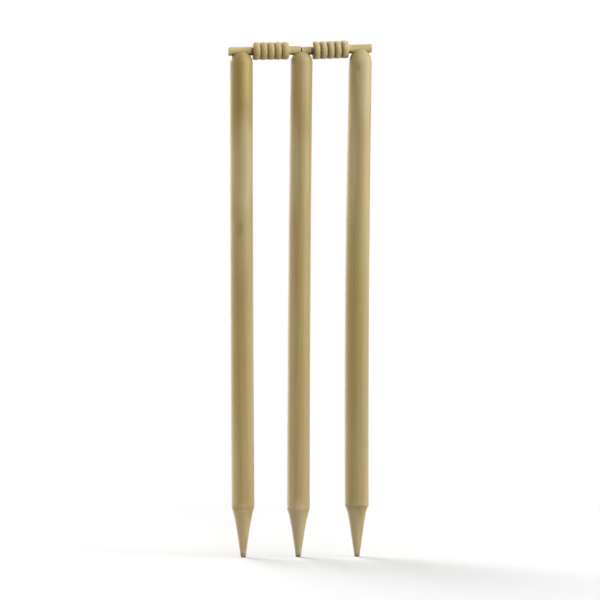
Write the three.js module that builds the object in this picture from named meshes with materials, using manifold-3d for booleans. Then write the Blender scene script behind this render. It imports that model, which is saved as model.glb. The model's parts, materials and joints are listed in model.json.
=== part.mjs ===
// A set of cricket stumps: three turned wooden stumps that stand in a row on their points, and two
// turned bails that lie in the grooves across their crowns.
//
// Lengths are in millimetres. +Z is up, the row runs along X, and the front faces -Y. The origin is
// the middle of the middle stump's point, where it meets the ground.

import * as THREE from "three";
import { mergeVertices } from "three/addons/utils/BufferGeometryUtils.js";
import Module from "manifold-3d";

// The stumps: the middle one's height, and how far the other two crowns stand under and over it
const stumpHeight = 762;
const leftCrownDrop = 0.6;
const rightCrownRise = 6.2;

// Shaft diameters under the crown and above the taper
const leftCrownDiameter = 34.1;
const leftFootDiameter = 34.5;
const middleCrownDiameter = 33.1;
const middleFootDiameter = 34.6;
const rightCrownDiameter = 34.6;
const rightFootDiameter = 36.2;

// How much the right shaft swells half way up
const rightBelly = 1;

// How far the left crown leans out past its own point, and how far each shaft bows to the left
const leftCrownOutset = 7.8;
const leftBow = 0.5;
const middleBow = 1.1;
const rightBow = 2.7;

// The point: a flat end, and a cone that flares out in a hollow below the full shaft
const pointDiameter = 7.6;
const leftTaperHeight = 76;
const middleTaperHeight = 73;
const rightTaperHeight = 77.6;
const leftHollowLength = 17.5;
const middleHollowLength = 16.5;
const rightHollowLength = 7.8;
const hollowDepth = 2.9;

// The crown: a dome, with a groove of round section across it for the bails
const leftCrownHeight = 20;
const middleCrownHeight = 18;
const rightCrownHeight = 25;
const leftGrooveDepth = 8.5;
const middleGrooveDepth = 6.6;
const rightGrooveDepth = 9.3;
const seatGap = 0.3;
const cutOverrun = 4;

// The bails: a barrel of beads between a long spigot and a short one. The right bail's short
// spigot is turned thinner than the others.
const spigotDiameter = 13.4;
const rightShortSpigotDiameter = 12.6;
const barrelDiameter = 27.2;
const beadCount = 5;
const beadLength = 10.7;
const beadDepth = 1.7;
const barrelEndDepth = 1;
const leftLongSpigotLength = 37.3;
const rightLongSpigotLength = 36.2;

// How far each bail's short end lies from the middle of the middle crown. The right bail's lies
// just past it.
const leftEndOffset = 1.8;
const rightEndOffset = -0.35;

// The spare length between two crowns over the barrel, and the gap at the end where it is pushed up
const leftBailPlay = 4.3;
const rightBailPlay = 2.3;
const barrelGap = 0.6;

// Steps round a turned piece and along its curves
const turnSteps = 32;
const bailTurnSteps = 28;
const taperSteps = 9;
const shaftSteps = 8;
const crownSteps = 7;
const beadSteps = 6;
const grooveSteps = 14;

const barrelLength = beadCount * beadLength;
const spigotRadius = spigotDiameter / 2;
const grooveRadius = spigotRadius + seatGap;

const wasm = await Module();
wasm.setup();

// A closed geometry as a solid that can be cut.
function solidOf(geometry) {
  const bare = geometry.clone();
  bare.deleteAttribute("normal");
  bare.deleteAttribute("uv");
  const merged = mergeVertices(bare);
  return new wasm.Manifold(
    new wasm.Mesh({
      numProp: 3,
      vertProperties: merged.attributes.position.array,
      triVerts: new Uint32Array(merged.index.array),
    }),
  );
}

// A cut solid as a geometry that can be shown.
function geometryOf(solid) {
  const mesh = solid.getMesh();
  const geometry = new THREE.BufferGeometry();
  geometry.setAttribute("position", new THREE.BufferAttribute(mesh.vertProperties, 3));
  geometry.setIndex(new THREE.BufferAttribute(mesh.triVerts, 1));
  geometry.computeVertexNormals();
  return geometry;
}

// The outline of a stump from its point up to its crown, as radius and height.
function stumpOutline(stump) {
  const pointRadius = pointDiameter / 2;
  const coneRadius = stump.footRadius - hollowDepth;
  const shoulder = stump.height - stump.crownHeight;
  const outline = [new THREE.Vector2(0, 0)];
  for (let step = 0; step <= taperSteps; step += 1) {
    const share = Math.sin((step / taperSteps) * (Math.PI / 2));
    const flare = hollowDepth * share ** (stump.taperHeight / stump.hollowLength);
    const radius = THREE.MathUtils.lerp(pointRadius, coneRadius, share) + flare;
    outline.push(new THREE.Vector2(radius, stump.taperHeight * share));
  }
  for (let step = 1; step <= shaftSteps; step += 1) {
    const share = step / shaftSteps;
    const swell = (stump.belly / 2) * Math.sin(Math.PI * share);
    const radius = THREE.MathUtils.lerp(stump.footRadius, stump.crownRadius, share) + swell;
    const height = THREE.MathUtils.lerp(stump.taperHeight, shoulder, share);
    outline.push(new THREE.Vector2(radius, height));
  }
  for (let step = 1; step < crownSteps; step += 1) {
    const angle = (step / crownSteps) * (Math.PI / 2);
    const radius = stump.crownRadius * Math.cos(angle);
    outline.push(new THREE.Vector2(radius, shoulder + stump.crownHeight * Math.sin(angle)));
  }
  outline.push(new THREE.Vector2(0, stump.height));
  return outline;
}

// Sets a straight stump out of true: its crown moves out, and its shaft bows, both along X.
function warp(geometry, stump) {
  const position = geometry.attributes.position;
  for (let vertex = 0; vertex < position.count; vertex += 1) {
    const share = position.getZ(vertex) / stump.height;
    const bow = -stump.bow * 4 * share * (1 - share);
    position.setX(vertex, position.getX(vertex) + stump.lean * share + bow);
  }
  return geometry;
}

// The bar that cuts a stump's groove: round below and straight-sided above, along the whole crown.
function grooveCutter(stump) {
  const section = new THREE.Shape();
  section.moveTo(grooveRadius, stump.crownHeight);
  section.lineTo(-grooveRadius, stump.crownHeight);
  section.lineTo(-grooveRadius, 0);
  section.absarc(0, 0, grooveRadius, Math.PI, 2 * Math.PI, false);
  section.closePath();
  const length = 2 * (stump.crownRadius + cutOverrun);
  const bar = new THREE.ExtrudeGeometry(section, {
    depth: length,
    bevelEnabled: false,
    curveSegments: grooveSteps,
  });
  bar.translate(0, 0, -length / 2);
  bar.rotateX(Math.PI / 2);
  bar.rotateZ(Math.PI / 2);
  bar.translate(stump.lean, 0, stump.grooveFloor + grooveRadius);
  return bar;
}

// One whole stump, standing on its own point at the origin.
function stumpGeometry(stump) {
  const turned = new THREE.LatheGeometry(stumpOutline(stump), turnSteps);
  turned.rotateX(Math.PI / 2);
  const body = solidOf(warp(turned, stump));
  return geometryOf(body.subtract(solidOf(grooveCutter(stump))));
}

// The outline of a bail, as radius and distance from the end of its short spigot. Each bead is half
// an ellipse, less deep where it ends the barrel.
function bailOutline(bail) {
  const outline = [new THREE.Vector2(0, 0)];
  outline.push(new THREE.Vector2(bail.shortRadius, 0));
  outline.push(new THREE.Vector2(bail.shortRadius, bail.shortLength));
  for (let bead = 0; bead < beadCount; bead += 1) {
    const middle = bail.shortLength + (bead + 1 / 2) * beadLength;
    const firstStep = bead === 0 ? 0 : 1;
    for (let step = firstStep; step <= beadSteps; step += 1) {
      const angle = Math.PI * (1 - step / beadSteps);
      const along = Math.cos(angle);
      const endsBarrel = bead === 0 ? along < 0 : bead === beadCount - 1 && along > 0;
      const depth = endsBarrel ? barrelEndDepth : beadDepth;
      const radius = barrelDiameter / 2 - depth * (1 - Math.sin(angle));
      outline.push(new THREE.Vector2(radius, middle + (beadLength / 2) * along));
    }
  }
  const farEnd = bail.shortLength + barrelLength + bail.longLength;
  outline.push(new THREE.Vector2(spigotRadius, bail.shortLength + barrelLength));
  outline.push(new THREE.Vector2(spigotRadius, farEnd));
  outline.push(new THREE.Vector2(0, farEnd));
  return outline;
}

// One bail along +X, with the end of its short spigot at the origin.
function bailGeometry(bail) {
  const turned = new THREE.LatheGeometry(bailOutline(bail), bailTurnSteps);
  turned.rotateZ(-Math.PI / 2);
  return geometryOf(solidOf(turned));
}

// A stump's sizes, with the height of its groove's floor and half the length of that floor.
function makeStump(sizes) {
  const crownRadius = sizes.crownDiameter / 2;
  const floorAboveShoulder = sizes.crownHeight - sizes.grooveDepth;
  return {
    ...sizes,
    crownRadius,
    footRadius: sizes.footDiameter / 2,
    grooveFloor: sizes.height - sizes.grooveDepth,
    grooveReach: crownRadius * Math.sqrt(1 - (floorAboveShoulder / sizes.crownHeight) ** 2),
  };
}

const left = makeStump({
  name: "left_stump",
  height: stumpHeight - leftCrownDrop,
  crownDiameter: leftCrownDiameter,
  footDiameter: leftFootDiameter,
  belly: 0,
  lean: -leftCrownOutset,
  bow: leftBow,
  taperHeight: leftTaperHeight,
  hollowLength: leftHollowLength,
  crownHeight: leftCrownHeight,
  grooveDepth: leftGrooveDepth,
});
const middle = makeStump({
  name: "middle_stump",
  height: stumpHeight,
  crownDiameter: middleCrownDiameter,
  footDiameter: middleFootDiameter,
  belly: 0,
  lean: 0,
  bow: middleBow,
  taperHeight: middleTaperHeight,
  hollowLength: middleHollowLength,
  crownHeight: middleCrownHeight,
  grooveDepth: middleGrooveDepth,
});
const right = makeStump({
  name: "right_stump",
  height: stumpHeight + rightCrownRise,
  crownDiameter: rightCrownDiameter,
  footDiameter: rightFootDiameter,
  belly: rightBelly,
  lean: 0,
  bow: rightBow,
  taperHeight: rightTaperHeight,
  hollowLength: rightHollowLength,
  crownHeight: rightCrownHeight,
  grooveDepth: rightGrooveDepth,
});

// Crown to crown, each outer stump stands off by both radii, the barrel and its play.
const leftSpacing = left.crownRadius + middle.crownRadius + barrelLength + leftBailPlay;
const rightSpacing = right.crownRadius + middle.crownRadius + barrelLength + rightBailPlay;

// How far a crown reaches out at the height of the underside of a barrel beside it.
function reachUnderBarrel(stump) {
  const underside = stump.grooveFloor + seatGap + spigotRadius - barrelDiameter / 2;
  const aboveShoulder = Math.max(0, underside - (stump.height - stump.crownHeight));
  return stump.crownRadius * Math.sqrt(1 - (aboveShoulder / stump.crownHeight) ** 2);
}

// The left bail is pushed up to the left crown, and the right bail to the middle one.
const leftBarrelStart = leftSpacing - reachUnderBarrel(left) - barrelGap - barrelLength;
const rightBarrelStart = reachUnderBarrel(middle) + barrelGap;

const leftBail = {
  name: "left_bail",
  shortRadius: spigotRadius,
  shortLength: leftBarrelStart - leftEndOffset,
  longLength: leftLongSpigotLength,
  innerEnd: leftEndOffset,
};
const rightBail = {
  name: "right_bail",
  shortRadius: rightShortSpigotDiameter / 2,
  shortLength: rightBarrelStart - rightEndOffset,
  longLength: rightLongSpigotLength,
  innerEnd: rightEndOffset,
};

// A bail bears on one edge of each groove. It rests on the near edge of a crown that stands higher
// than the middle one, and on the far edge of a lower one.
function bailPlace(bail, outer, spacing) {
  const innerHeight = middle.grooveFloor + seatGap + bail.shortRadius;
  const outerHeight = outer.grooveFloor + seatGap + spigotRadius;
  const rises = outerHeight > innerHeight;
  const innerBearing = rises ? bail.innerEnd : middle.grooveReach;
  const outerBearing = rises ? spacing - outer.grooveReach : spacing + outer.grooveReach;
  const slope = (outerHeight - innerHeight) / (outerBearing - innerBearing);
  return {
    height: innerHeight + slope * (bail.innerEnd - innerBearing),
    tilt: Math.atan(slope),
  };
}

function wood(color, roughness) {
  return new THREE.MeshStandardMaterial({ color, roughness, metalness: 0 });
}

function stumpMesh(stump, pointX, color) {
  const mesh = new THREE.Mesh(stumpGeometry(stump), wood(color, 0.42));
  mesh.name = stump.name;
  mesh.position.x = pointX;
  return mesh;
}

// side is -1 for the bail on the left and 1 for the one on the right.
function bailMesh(bail, side, place, color) {
  const mesh = new THREE.Mesh(bailGeometry(bail), wood(color, 0.5));
  mesh.name = bail.name;
  mesh.position.set(side * bail.innerEnd, 0, place.height);
  mesh.rotation.set(0, -side * place.tilt, side < 0 ? Math.PI : 0);
  return mesh;
}

const leftPlace = bailPlace(leftBail, left, leftSpacing);
const rightPlace = bailPlace(rightBail, right, rightSpacing);

const group = new THREE.Group();
group.add(stumpMesh(left, -leftSpacing - left.lean, 0xb5a066));
group.add(stumpMesh(middle, 0, 0xb8a46c));
group.add(stumpMesh(right, rightSpacing, 0xb6a674));
group.add(bailMesh(leftBail, -1, leftPlace, 0xc0a978));
group.add(bailMesh(rightBail, 1, rightPlace, 0xbea775));

export default group;
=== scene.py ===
"""A set of cricket stumps: three turned wooden stumps and two turned bails, in clear satin lacquer.

Sizes are in millimetres until they are given to Blender, which takes metres. Colours are as a screen
shows them until they are given to a shader, which takes linear ones.
"""

import json
import logging
import math
from collections.abc import Callable
from dataclasses import dataclass, fields, replace
from enum import Enum
from typing import ClassVar, NamedTuple

import bpy
from mathutils import Matrix, Vector


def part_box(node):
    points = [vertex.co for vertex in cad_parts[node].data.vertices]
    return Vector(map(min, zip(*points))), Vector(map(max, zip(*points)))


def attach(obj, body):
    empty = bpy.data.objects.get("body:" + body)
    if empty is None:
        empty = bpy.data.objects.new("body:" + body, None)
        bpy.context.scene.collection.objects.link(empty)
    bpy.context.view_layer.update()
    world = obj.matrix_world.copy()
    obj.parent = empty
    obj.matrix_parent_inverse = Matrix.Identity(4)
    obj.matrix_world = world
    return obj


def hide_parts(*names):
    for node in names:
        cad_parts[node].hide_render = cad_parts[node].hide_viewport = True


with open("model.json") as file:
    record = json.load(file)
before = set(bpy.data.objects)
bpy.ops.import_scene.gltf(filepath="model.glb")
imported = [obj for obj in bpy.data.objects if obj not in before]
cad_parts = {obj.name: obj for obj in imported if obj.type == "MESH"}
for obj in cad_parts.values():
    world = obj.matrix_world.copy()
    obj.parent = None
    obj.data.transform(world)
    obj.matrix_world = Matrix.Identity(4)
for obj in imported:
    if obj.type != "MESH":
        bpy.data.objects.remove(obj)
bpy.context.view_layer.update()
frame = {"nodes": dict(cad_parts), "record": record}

LOG = logging.getLogger("cricket_stumps")
MM = 0.001
FULL_TURN = 2 * math.pi
QUARTER_TURN = math.pi / 2
GRAIN_SPAN = 760.0

Triple = tuple[float, float, float]
Colour = Triple
Span = tuple[float, float]
Inputs = dict[str | int, object]


def linear(colour: Colour) -> tuple[float, float, float, float]:
    """Turns a colour as a screen shows it into the linear one of a shader, with an alpha of 1."""
    red, green, blue = (c / 12.92 if c <= 0.04045 else ((c + 0.055) / 1.055) ** 2.4 for c in colour)
    return red, green, blue, 1.0


def between(start: "Number", end: "Number", share: "Number") -> "Number":
    """The number at a share of the way from one to another."""
    return start + (end - start) * share


def bend(share: "Number", lean: "Number", bow: "Number") -> "Number":
    """How far a stump that leans and bows is off its axis at a share of its height."""
    return lean * share - bow * share * (1 - share) * 4


def lip_sine(reach: "Number", tall: "Number", rise: "Number", groove: "Number") -> "Number":
    """The sine of the elevation at which a round groove cuts the dome of a crown.

    Args:
        reach: How far the foot of the dome is from the groove's axis there, square to it.
        tall: The dome's height.
        rise: The height of the groove's axis over the dome's foot.
        groove: The groove's radius.

    Returns:
        The sine.
    """
    square = tall * tall - reach * reach
    half = rise * tall
    rest = reach * reach + rise * rise - groove * groove
    return rest / (half + (half * half - square * rest) ** 0.5)


def put_in_scene(name: str, data: bpy.types.ID) -> bpy.types.Object:
    """Makes an object and puts it in the scene.

    Args:
        name: The object's name.
        data: Its mesh, lamp or camera.

    Returns:
        The object.
    """
    made = bpy.data.objects.new(name, data)
    bpy.context.scene.collection.objects.link(made)
    return made


class Field:
    """A number in a node tree, which joins other numbers there by plain arithmetic."""

    def __init__(self, graph: "Graph", socket: bpy.types.NodeSocket) -> None:
        """Keeps the graph that the number is in and the socket that gives it."""
        self.graph = graph
        self.socket = socket

    def __add__(self, other: "Number") -> "Field":
        """This number plus another."""
        return self.graph.math("ADD", self, other)

    def __sub__(self, other: "Number") -> "Field":
        """This number less another."""
        return self.graph.math("SUBTRACT", self, other)

    def __rsub__(self, other: "Number") -> "Field":
        """Another number less this one."""
        return self.graph.math("SUBTRACT", other, self)

    def __mul__(self, other: "Number") -> "Field":
        """This number times another."""
        return self.graph.math("MULTIPLY", self, other)

    def __truediv__(self, other: "Number") -> "Field":
        """This number over another."""
        return self.graph.math("DIVIDE", self, other)

    def __pow__(self, other: "Number") -> "Field":
        """This number to the power of another."""
        return self.graph.math("POWER", self, other)

    __radd__ = __add__
    __rmul__ = __mul__


Number = Field | float
Flat = tuple[Number, Number]
Point = tuple[Number, Number, Number]


class Graph:
    """A node tree, with short ways to add nodes to it and join them."""

    SOCKETS: ClassVar[dict[type, str]] = {
        float: "NodeSocketFloat",
        int: "NodeSocketInt",
        tuple: "NodeSocketVector",
    }
    # The Mix node's sockets for colours, which come after those for numbers and vectors.
    MIX_FIRST, MIX_SECOND, MIX_RESULT = 6, 7, 2

    def __init__(self, tree: bpy.types.NodeTree) -> None:
        """Keeps the tree that the nodes go into."""
        self.tree = tree

    def declare(self, direction: str, name: str, value: object) -> None:
        """Gives the group a socket that it is used by.

        Args:
            direction: INPUT or OUTPUT.
            name: The socket's name.
            value: Its default value, or the name of a socket type that has none.
        """
        kind = value if isinstance(value, str) else self.SOCKETS[type(value)]
        socket = self.tree.interface.new_socket(name, in_out=direction, socket_type=kind)
        if not isinstance(value, str):
            socket.default_value = value

    def inputs(self) -> dict[str, Field]:
        """The group's inputs by name."""
        node = self.tree.nodes.new("NodeGroupInput")
        return {socket.name: Field(self, socket) for socket in node.outputs if socket.name}

    def feed(self, socket: bpy.types.NodeSocket, value: object) -> None:
        """Links a socket to a field or another socket, or sets it to a plain value.

        Args:
            socket: The input socket to feed.
            value: A Field, an output socket or a plain value.
        """
        source = value.socket if isinstance(value, Field) else value
        if isinstance(source, bpy.types.NodeSocket):
            self.tree.links.new(source, socket)
        else:
            socket.default_value = source

    def add(self, kind: str, inputs: Inputs, **settings: object) -> bpy.types.Node:
        """Adds a node.

        Args:
            kind: The node's Blender type.
            inputs: What feeds its sockets, by their name or number.
            **settings: The node's own settings.

        Returns:
            The new node.
        """
        node = self.tree.nodes.new(kind)
        for name, value in settings.items():
            setattr(node, name, value)
        for key, value in inputs.items():
            self.feed(node.inputs[key], value)
        return node

    def field(self, kind: str, inputs: Inputs, output: str | int = 0, **settings: object) -> Field:
        """Adds a node, as add does, and gives one of its outputs."""
        return Field(self, self.add(kind, inputs, **settings).outputs[output])

    def use(self, group: bpy.types.NodeTree, values: Inputs) -> dict[str, Field]:
        """Places a shader group with its values, and gives its outputs by name."""
        node = self.add("ShaderNodeGroup", values, node_tree=group)
        return {socket.name: Field(self, socket) for socket in node.outputs}

    def math(self, operation: str, *values: Number) -> Field:
        """What an operation of the Math node makes of some numbers."""
        return self.field("ShaderNodeMath", dict(enumerate(values)), operation=operation)

    def sine(self, angle: Number) -> Field:
        """The sine of an angle."""
        return self.math("SINE", angle)

    def cosine(self, angle: Number) -> Field:
        """The cosine of an angle."""
        return self.math("COSINE", angle)

    def combine(self, x: Number, y: Number, z: Number) -> Field:
        """A vector made of three numbers."""
        return self.field("ShaderNodeCombineXYZ", {0: x, 1: y, 2: z})

    def separate(self, vector: Field) -> tuple[Field, Field, Field]:
        """The three numbers of a vector."""
        x, y, z = self.add("ShaderNodeSeparateXYZ", {0: vector}).outputs
        return Field(self, x), Field(self, y), Field(self, z)

    def step(self, value: Number, low: Number, high: Number) -> Field:
        """A smooth step from 0, where the value is at low, to 1, where it is at high."""
        ends = {"Value": value, "From Min": low, "From Max": high}
        return self.field("ShaderNodeMapRange", ends, interpolation_type="SMOOTHSTEP")

    def noise(self, vector: Field, detail: float = 2.0) -> Field:
        """Smooth noise from 0 to 1, about one swell for each unit, with some layers of finer detail."""
        return self.field("ShaderNodeTexNoise", {"Vector": vector, "Scale": 1.0, "Detail": detail})

    def dots(self, vector: Field, channel: int, chosen: Span, edge: Span) -> Field:
        """Soft dots, scattered one to a cell of about a unit, in a few of the cells.

        Args:
            vector: Where the dots are read.
            channel: Which of a cell's three random numbers chooses it.
            chosen: The random numbers at which a cell starts to have a dot and has it in full.
            edge: How far from a dot's middle its edge starts and ends.

        Returns:
            The dots, from 0 to 1.
        """
        cells = self.add("ShaderNodeTexVoronoi", {"Vector": vector, "Scale": 1.0})
        random = self.separate(Field(self, cells.outputs["Color"]))[channel]
        near = 1 - self.step(Field(self, cells.outputs["Distance"]), *edge)
        return near * self.step(random, *chosen)

    def length(self, x: Number, y: Number) -> Field:
        """The length of a flat vector."""
        return (x * x + y * y) ** 0.5

    def mix(self, share: Number, first: object, second: object) -> Field:
        """A colour between two others, the first of them where the share is 0."""
        inputs = {0: share, self.MIX_FIRST: first, self.MIX_SECOND: second}
        return self.field("ShaderNodeMix", inputs, self.MIX_RESULT, data_type="RGBA")


class TurnedTree(Graph):
    """A geometry tree, in metres, for a piece turned about its own Z axis, made of patches round it."""

    MERGE_DISTANCE: ClassVar[float] = 0.01 * MM
    SWELL_WIDTH: ClassVar[float] = 30 * MM
    SWELL_LENGTH: ClassVar[float] = 45 * MM
    DENT_CELL: ClassVar[float] = 14 * MM
    DENT_CHOSEN: ClassVar[Span] = (0.80, 0.81)
    DENT_EDGE: ClassVar[Span] = (0.04, 0.17)

    def __init__(self, name: str, sizes: dict[str, object]) -> None:
        """Starts the tree.

        Args:
            name: The tree's name.
            sizes: Its inputs and their default values.
        """
        super().__init__(bpy.data.node_groups.new(name, "GeometryNodeTree"))
        for label, value in {**sizes, "Columns": 96, "Seed": 0.0}.items():
            self.declare("INPUT", label, value)
        self.declare("INPUT", "Material", "NodeSocketMaterial")
        self.declare("OUTPUT", "Geometry", "NodeSocketGeometry")
        self.size = self.inputs()
        self.patches: list[bpy.types.NodeSocket] = []

    def position(self) -> Field:
        """The place of each point."""
        return self.field("GeometryNodeInputPosition", {})

    def patch(self, rows: int, place: Callable[[Field, Field], Point]) -> None:
        """Adds a patch, a grid that is wrapped round the axis.

        Args:
            rows: How many rows of faces it has along the profile.
            place: Gives a point's place from its angle and its share of the way along the patch.
        """
        counts = {"Vertices X": self.size["Columns"] + 1, "Vertices Y": rows + 1}
        grid = self.add("GeometryNodeMeshGrid", {"Size X": 1.0, "Size Y": 1.0, **counts})
        across, along, _ = self.separate(self.position())
        point = self.combine(*place((across + 0.5) * FULL_TURN, along + 0.5))
        inputs = {"Geometry": grid.outputs["Mesh"], "Position": point}
        self.patches.append(self.add("GeometryNodeSetPosition", inputs).outputs[0])

    def turned(self, rows: int, profile: Callable[[Field], Flat]) -> None:
        """Adds a patch of round section.

        Args:
            rows: How many rows of faces it has.
            profile: Gives the radius and the height from the share of the way along the patch.
        """

        def place(angle: Field, share: Field) -> Point:
            """The point on the circle that the profile gives."""
            radius, height = profile(share)
            return self.cosine(angle) * radius, self.sine(angle) * radius, height

        self.patch(rows, place)

    def close(self, waviness: float, dent_depth: float) -> None:
        """Joins the patches, makes the surface slightly uneven, and ends the tree.

        Args:
            waviness: How far the turned surface swells and dips.
            dent_depth: How deep its few small dents are.
        """
        joined = self.add("GeometryNodeJoinGeometry", {})
        for geometry in self.patches:
            self.tree.links.new(geometry, joined.inputs[0])
        apart = {0: joined.outputs[0], "Distance": self.MERGE_DISTANCE}
        merged = self.add("GeometryNodeMergeByDistance", apart)
        x, y, z = self.separate(self.position())
        wide, cell, seed = self.SWELL_WIDTH, self.DENT_CELL, self.size["Seed"]
        swell = self.noise(self.combine(x / wide + seed, y / wide, z / self.SWELL_LENGTH), 1.0) - 0.5
        cells = self.combine(x / cell + seed, y / cell, z / cell)
        dents = self.dots(cells, 0, self.DENT_CHOSEN, self.DENT_EDGE)
        offset = swell * (2 * waviness) - dents * dent_depth
        normal = self.field("GeometryNodeInputNormal", {})
        push = self.field("ShaderNodeVectorMath", {0: normal, "Scale": offset}, operation="SCALE")
        moved = self.add("GeometryNodeSetPosition", {0: merged.outputs[0], "Offset": push})
        smooth = self.add("GeometryNodeSetShadeSmooth", {0: moved.outputs[0]})
        real = self.add("GeometryNodeRealizeInstances", {0: smooth.outputs[0]})
        finish = {0: real.outputs[0], "Material": self.size["Material"]}
        dressed = self.add("GeometryNodeSetMaterial", finish)
        self.add("NodeGroupOutput", {0: dressed.outputs[0]})


class Lip(NamedTuple):
    """Where the groove's round section meets the dome, in the plane of one column of the mesh.

    It is told by its elevation on the dome, its place along the groove and its angle about the
    groove's axis.
    """

    elevation: Field
    along: Field
    turn: Field


class StumpTree(TurnedTree):
    """The tree of a stump: flat point, hollow taper, shaft, domed crown and the bails' groove."""

    SIZES: ClassVar[tuple[str, ...]] = (
        "Height", "Crown radius", "Foot radius", "Point radius", "Point edge", "Taper height",
        "Hollow length", "Hollow depth", "Belly", "Crown height", "Groove radius", "Groove axis",
        "Lip width", "Lean", "Bow",
    )

    def __init__(self) -> None:
        """Builds the tree, patch by patch from the point up to the middle of the groove."""
        super().__init__("Stump", dict.fromkeys(self.SIZES, 0.0))
        self.shoulder = self.size["Height"] - self.size["Crown height"]
        self.rise = self.size["Groove axis"] - self.shoulder
        self.turned(5, self.point_face)
        self.turned(4, self.point_edge)
        self.turned(56, self.taper)
        self.turned(400, self.shaft)
        self.patch(16, self.dome)
        self.patch(6, self.rounding)
        self.patch(16, self.groove)
        self.patches = [self.bent(geometry) for geometry in self.patches]
        self.close(waviness=0.06 * MM, dent_depth=0.35 * MM)

    def taper_radius(self, height: Number) -> Field:
        """The radius of the taper, a cone that is flared at the top by its hollow.

        Args:
            height: The height over the point.

        Returns:
            The radius.
        """
        size = self.size
        share = height / size["Taper height"]
        cone = size["Foot radius"] - size["Hollow depth"] - size["Point radius"]
        flare = size["Hollow depth"] * share ** (size["Taper height"] / size["Hollow length"])
        return size["Point radius"] + cone * share + flare

    def point_face(self, share: Field) -> Flat:
        """The flat end of the point."""
        return (self.size["Point radius"] - self.size["Point edge"]) * share, 0.0

    def point_edge(self, share: Field) -> Flat:
        """The worn edge round the flat end.

        Args:
            share: The share of the way along the patch.

        Returns:
            The radius and the height.
        """
        edge, angle = self.size["Point edge"], share * QUARTER_TURN
        inner = self.size["Point radius"] - edge
        across = between(inner, self.taper_radius(edge), self.sine(angle))
        return across, edge * (1 - self.cosine(angle))

    def taper(self, share: Field) -> Flat:
        """The cone and the hollow above it, with its rows closest under the shoulder."""
        height = between(self.size["Point edge"], self.size["Taper height"], self.sine(share * QUARTER_TURN))
        return self.taper_radius(height), height

    def shaft(self, share: Field) -> Flat:
        """The shaft, which narrows slightly towards the crown and may swell half way.

        Args:
            share: The share of the way along the patch.

        Returns:
            The radius and the height.
        """
        swell = self.size["Belly"] * self.sine(share * math.pi)
        radius = between(self.size["Foot radius"], self.size["Crown radius"], share) + swell
        return radius, between(self.size["Taper height"], self.shoulder, share)

    def lip(self, angle: Field) -> Lip:
        """Where the groove cuts the dome.

        Args:
            angle: The column's angle about the stump's axis.

        Returns:
            The lip at that angle.
        """
        names = ("Crown radius", "Crown height", "Groove radius")
        wide, tall, groove = (self.size[name] for name in names)
        sine = lip_sine(self.sine(angle) * wide, tall, self.rise, groove)
        out = (1 - sine * sine) ** 0.5 * wide
        turn = self.math("ARCTAN2", out * self.sine(angle), self.rise - tall * sine)
        return Lip(self.math("ARCSINE", sine), out * self.cosine(angle), turn)

    def on_dome(self, angle: Field, elevation: Field) -> Point:
        """A point of the dome.

        Args:
            angle: Its angle about the stump's axis.
            elevation: Its elevation over the shoulder.

        Returns:
            The point.
        """
        out = self.cosine(elevation) * self.size["Crown radius"]
        height = self.shoulder + self.sine(elevation) * self.size["Crown height"]
        return out * self.cosine(angle), out * self.sine(angle), height

    def in_groove(self, lip: Lip, share: Field) -> Point:
        """A point of the groove's floor.

        Args:
            lip: The lip in the point's column.
            share: Its share of the way from the floor's middle to the lip.

        Returns:
            The point.
        """
        turn, radius = lip.turn * share, self.size["Groove radius"]
        height = self.size["Groove axis"] - self.cosine(turn) * radius
        return lip.along * share, self.sine(turn) * radius, height

    def dome_end(self, lip: Lip) -> Field:
        """The elevation at which the rounding of the lip begins."""
        return lip.elevation - self.size["Lip width"] / self.size["Crown height"]

    def groove_start(self, lip: Lip) -> Field:
        """The share of the groove's floor at which the rounding of the lip ends."""
        width = self.length(lip.along, lip.turn * self.size["Groove radius"])
        return 1 - self.size["Lip width"] / width

    def dome(self, angle: Field, share: Field) -> Point:
        """The dome, from the shoulder up to the lip."""
        return self.on_dome(angle, self.dome_end(self.lip(angle)) * share)

    def rounding(self, angle: Field, share: Field) -> Point:
        """The lip itself, a curve from the dome over into the groove.

        Args:
            angle: The column's angle about the stump's axis.
            share: The share of the way over the lip.

        Returns:
            The point.
        """
        lip = self.lip(angle)
        first = self.on_dome(angle, self.dome_end(lip))
        corner = self.on_dome(angle, lip.elevation)
        last = self.in_groove(lip, self.groove_start(lip))
        back = 1 - share
        start, middle, end = back * back, back * share * 2, share * share
        x, y, z = (start * a + middle * b + end * c for a, b, c in zip(first, corner, last))
        return x, y, z

    def groove(self, angle: Field, share: Field) -> Point:
        """The groove's floor, from the lip in to its middle."""
        lip = self.lip(angle)
        return self.in_groove(lip, self.groove_start(lip) * (1 - share))

    def bent(self, geometry: bpy.types.NodeSocket) -> bpy.types.NodeSocket:
        """Leans and bows a patch as the whole stump leans and bows.

        Args:
            geometry: The straight patch.

        Returns:
            The bent one.
        """
        share = self.separate(self.position())[2] / self.size["Height"]
        offset = self.combine(bend(share, self.size["Lean"], self.size["Bow"]), 0.0, 0.0)
        return self.add("GeometryNodeSetPosition", {0: geometry, "Offset": offset}).outputs[0]


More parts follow.
